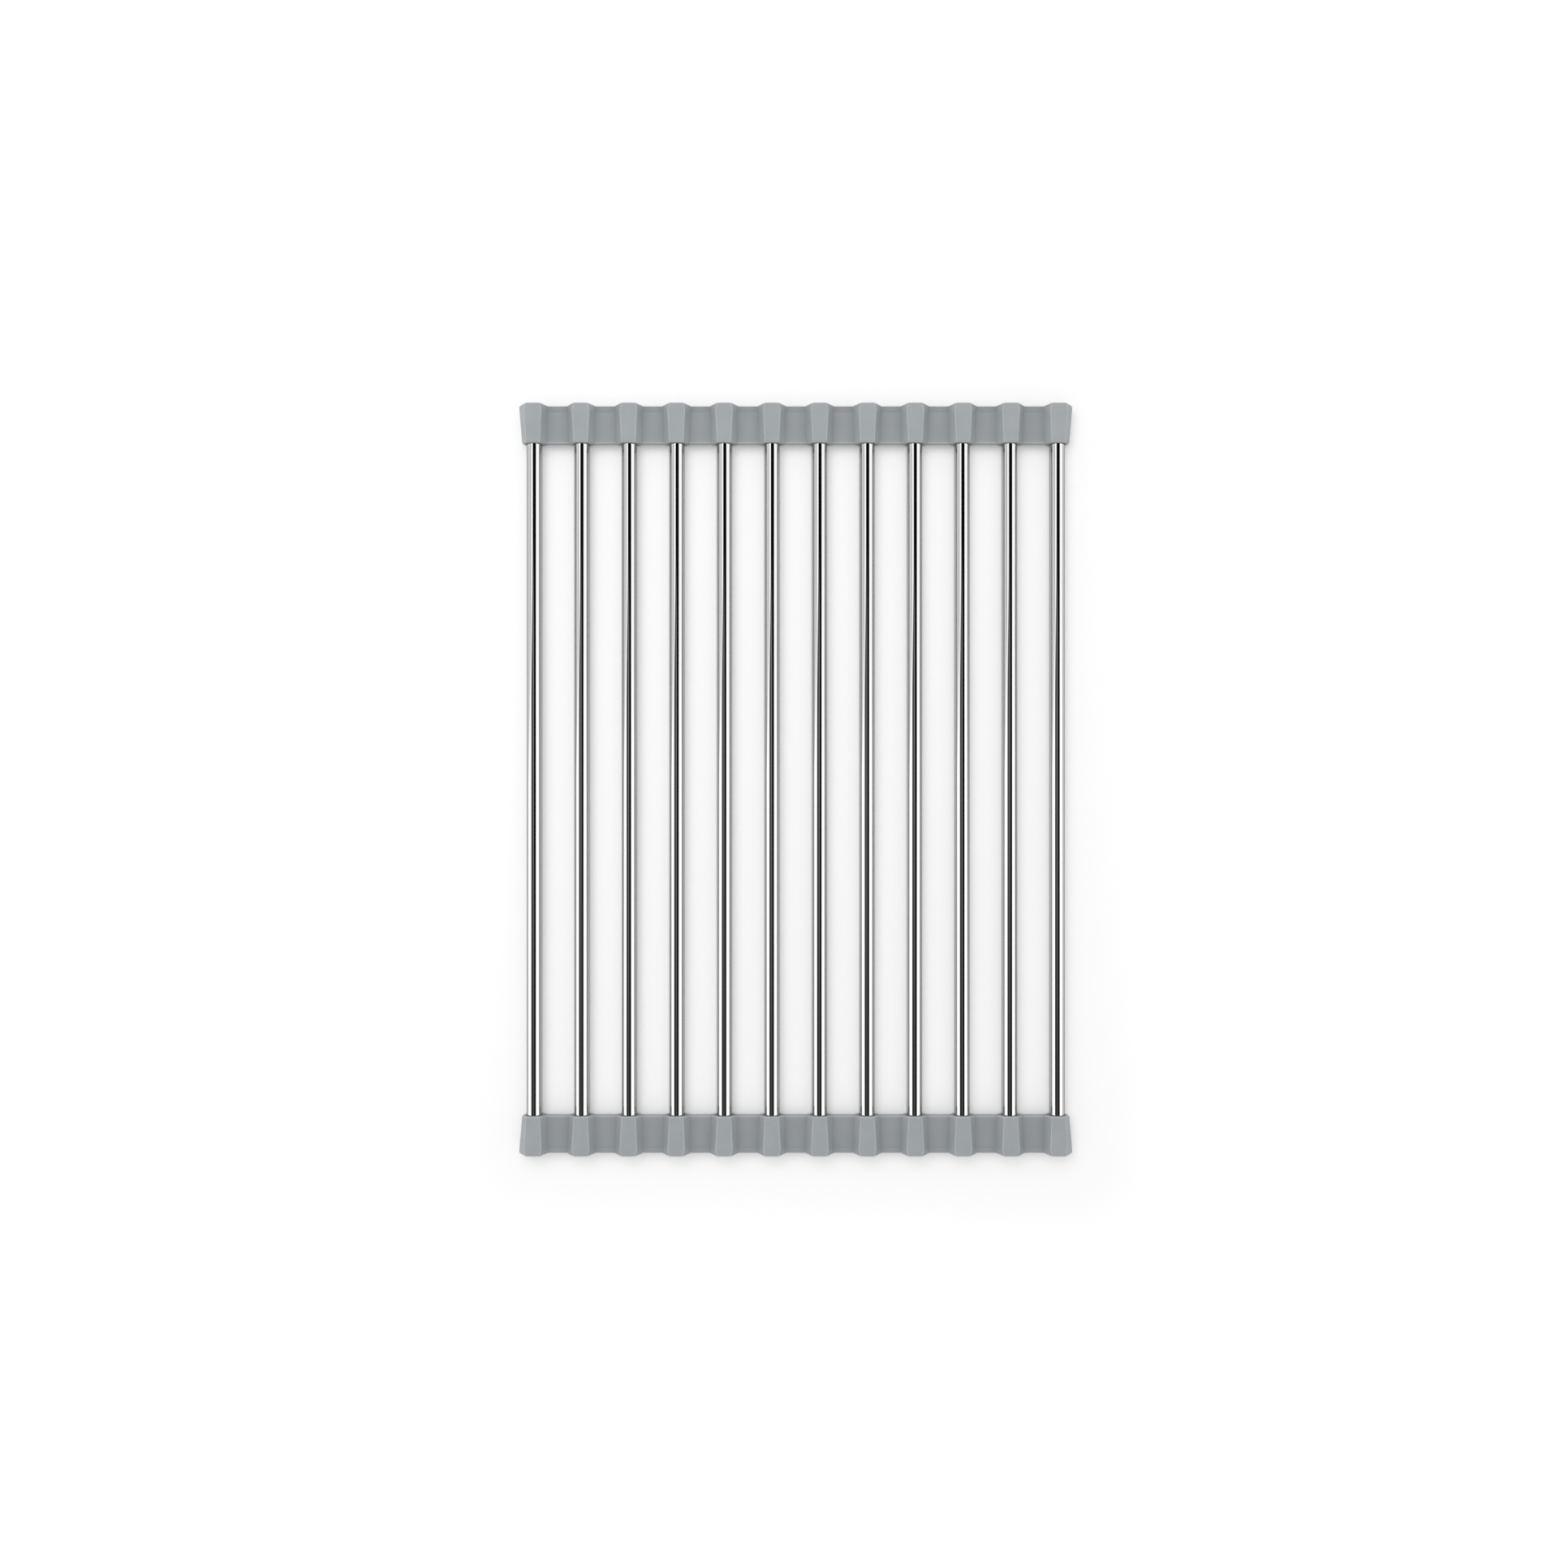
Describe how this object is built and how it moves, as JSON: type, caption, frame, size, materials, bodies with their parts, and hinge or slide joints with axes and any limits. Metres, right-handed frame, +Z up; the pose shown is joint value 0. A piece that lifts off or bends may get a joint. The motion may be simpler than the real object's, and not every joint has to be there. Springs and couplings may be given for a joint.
{
  "type": "roll-up dish drying rack",
  "caption": "Flat roll-up drying rack: polished steel tubes held side by side by two flexible silicone end strips, laid over a sink so that dishes drain.",
  "frame": {"origin": "under the middle of the rack as it lies flat, on the surface that it rests on", "axes": "+X to the right across the tubes, +Y along the tubes from the front strip to the back strip, +Z up"},
  "size_m": [0.325, 0.441, 0.014],
  "materials": {
    "steel": "mirror-polished stainless steel",
    "silicone": "matte grey silicone"
  },
  "bodies": {
    "bar_01": {"tube_01": "steel", "front_knuckle_01": "silicone", "back_knuckle_01": "silicone", "front_web_01": "silicone", "back_web_01": "silicone"},
    "bar_02": {"tube_02": "steel", "front_knuckle_02": "silicone", "back_knuckle_02": "silicone", "front_web_02": "silicone", "back_web_02": "silicone"},
    "bar_03": {"tube_03": "steel", "front_knuckle_03": "silicone", "back_knuckle_03": "silicone", "front_web_03": "silicone", "back_web_03": "silicone"},
    "bar_04": {"tube_04": "steel", "front_knuckle_04": "silicone", "back_knuckle_04": "silicone", "front_web_04": "silicone", "back_web_04": "silicone"},
    "bar_05": {"tube_05": "steel", "front_knuckle_05": "silicone", "back_knuckle_05": "silicone", "front_web_05": "silicone", "back_web_05": "silicone"},
    "bar_06": {"tube_06": "steel", "front_knuckle_06": "silicone", "back_knuckle_06": "silicone", "front_web_06": "silicone", "back_web_06": "silicone"},
    "bar_07": {"tube_07": "steel", "front_knuckle_07": "silicone", "back_knuckle_07": "silicone", "front_web_07": "silicone", "back_web_07": "silicone"},
    "bar_08": {"tube_08": "steel", "front_knuckle_08": "silicone", "back_knuckle_08": "silicone", "front_web_08": "silicone", "back_web_08": "silicone"},
    "bar_09": {"tube_09": "steel", "front_knuckle_09": "silicone", "back_knuckle_09": "silicone", "front_web_09": "silicone", "back_web_09": "silicone"},
    "bar_10": {"tube_10": "steel", "front_knuckle_10": "silicone", "back_knuckle_10": "silicone", "front_web_10": "silicone", "back_web_10": "silicone"},
    "bar_11": {"tube_11": "steel", "front_knuckle_11": "silicone", "back_knuckle_11": "silicone", "front_web_11": "silicone", "back_web_11": "silicone"},
    "bar_12": {"tube_12": "steel", "front_knuckle_12": "silicone", "back_knuckle_12": "silicone"}
  },
  "joints": [
    {"name": "web_bend_01", "type": "hinge", "parent": "bar_01", "child": "bar_02", "pos_m": [-0.14, 0, 0.007], "axis": [0, -1, 0], "range_deg": [-38, 38], "stiffness_Nm_per_rad": 0.042, "deforming": ["front_web_01", "back_web_01"]},
    {"name": "web_bend_02", "type": "hinge", "parent": "bar_02", "child": "bar_03", "pos_m": [-0.112, 0, 0.007], "axis": [0, -1, 0], "range_deg": [-38, 38], "stiffness_Nm_per_rad": 0.042, "deforming": ["front_web_02", "back_web_02"]},
    {"name": "web_bend_03", "type": "hinge", "parent": "bar_03", "child": "bar_04", "pos_m": [-0.084, 0, 0.007], "axis": [0, -1, 0], "range_deg": [-38, 38], "stiffness_Nm_per_rad": 0.042, "deforming": ["front_web_03", "back_web_03"]},
    {"name": "web_bend_04", "type": "hinge", "parent": "bar_04", "child": "bar_05", "pos_m": [-0.056, 0, 0.007], "axis": [0, -1, 0], "range_deg": [-38, 38], "stiffness_Nm_per_rad": 0.042, "deforming": ["front_web_04", "back_web_04"]},
    {"name": "web_bend_05", "type": "hinge", "parent": "bar_05", "child": "bar_06", "pos_m": [-0.028, 0, 0.007], "axis": [0, -1, 0], "range_deg": [-38, 38], "stiffness_Nm_per_rad": 0.042, "deforming": ["front_web_05", "back_web_05"]},
    {"name": "web_bend_06", "type": "hinge", "parent": "bar_06", "child": "bar_07", "pos_m": [0, 0, 0.007], "axis": [0, -1, 0], "range_deg": [-38, 38], "stiffness_Nm_per_rad": 0.042, "deforming": ["front_web_06", "back_web_06"]},
    {"name": "web_bend_07", "type": "hinge", "parent": "bar_07", "child": "bar_08", "pos_m": [0.028, 0, 0.007], "axis": [0, -1, 0], "range_deg": [-45, 45], "stiffness_Nm_per_rad": 0.042, "deforming": ["front_web_07", "back_web_07"]},
    {"name": "web_bend_08", "type": "hinge", "parent": "bar_08", "child": "bar_09", "pos_m": [0.056, 0, 0.007], "axis": [0, -1, 0], "range_deg": [-55, 55], "stiffness_Nm_per_rad": 0.042, "deforming": ["front_web_08", "back_web_08"]},
    {"name": "web_bend_09", "type": "hinge", "parent": "bar_09", "child": "bar_10", "pos_m": [0.084, 0, 0.007], "axis": [0, -1, 0], "range_deg": [-65, 65], "stiffness_Nm_per_rad": 0.042, "deforming": ["front_web_09", "back_web_09"]},
    {"name": "web_bend_10", "type": "hinge", "parent": "bar_10", "child": "bar_11", "pos_m": [0.112, 0, 0.007], "axis": [0, -1, 0], "range_deg": [-75, 75], "stiffness_Nm_per_rad": 0.042, "deforming": ["front_web_10", "back_web_10"]},
    {"name": "web_bend_11", "type": "hinge", "parent": "bar_11", "child": "bar_12", "pos_m": [0.14, 0, 0.007], "axis": [0, -1, 0], "range_deg": [-85, 85], "stiffness_Nm_per_rad": 0.042, "deforming": ["front_web_11", "back_web_11"]}
  ]
}
